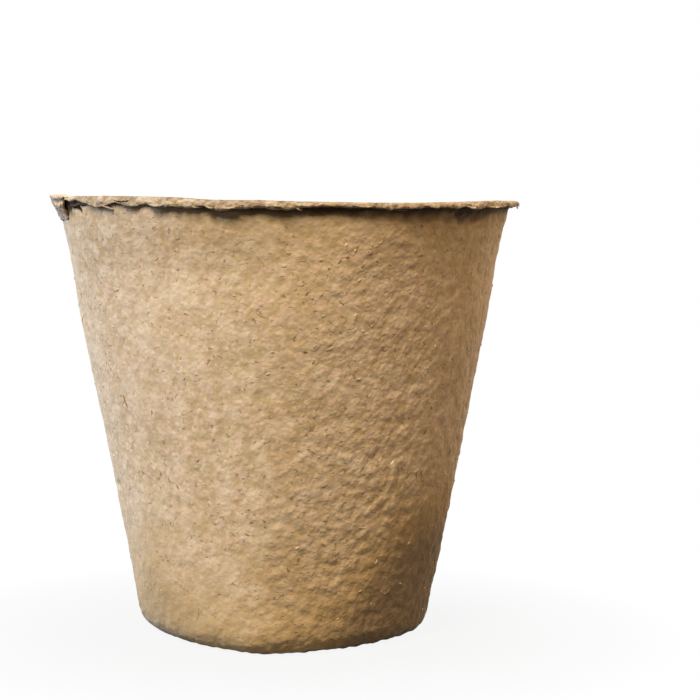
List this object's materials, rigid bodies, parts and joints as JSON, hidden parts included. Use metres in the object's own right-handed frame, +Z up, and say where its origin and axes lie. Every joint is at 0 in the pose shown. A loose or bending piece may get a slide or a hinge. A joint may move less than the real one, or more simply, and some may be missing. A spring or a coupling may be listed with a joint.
{
  "type": "peat pot",
  "caption": "Small tapered seedling pot moulded from brown peat pulp, four-sided wall under a round collar and ragged out-turned lip.",
  "frame": {"origin": "on the standing surface, under the middle of the pot", "axes": "+Z up through the mouth, -Y towards the viewer, so that the torn flap is on the -X side"},
  "size_m": [0.08, 0.08, 0.075],
  "materials": {
    "pulp_wall": "matte",
    "pulp_lip": "matte",
    "pulp_base": "matte"
  },
  "bodies": {
    "root": {"rim_lip": "pulp_lip", "torn_lip_flap": "pulp_lip", "collar": "pulp_wall", "side_wall": "pulp_wall", "foot_heel": "pulp_base", "floor_panel": "pulp_base"}
  },
  "joints": []
}
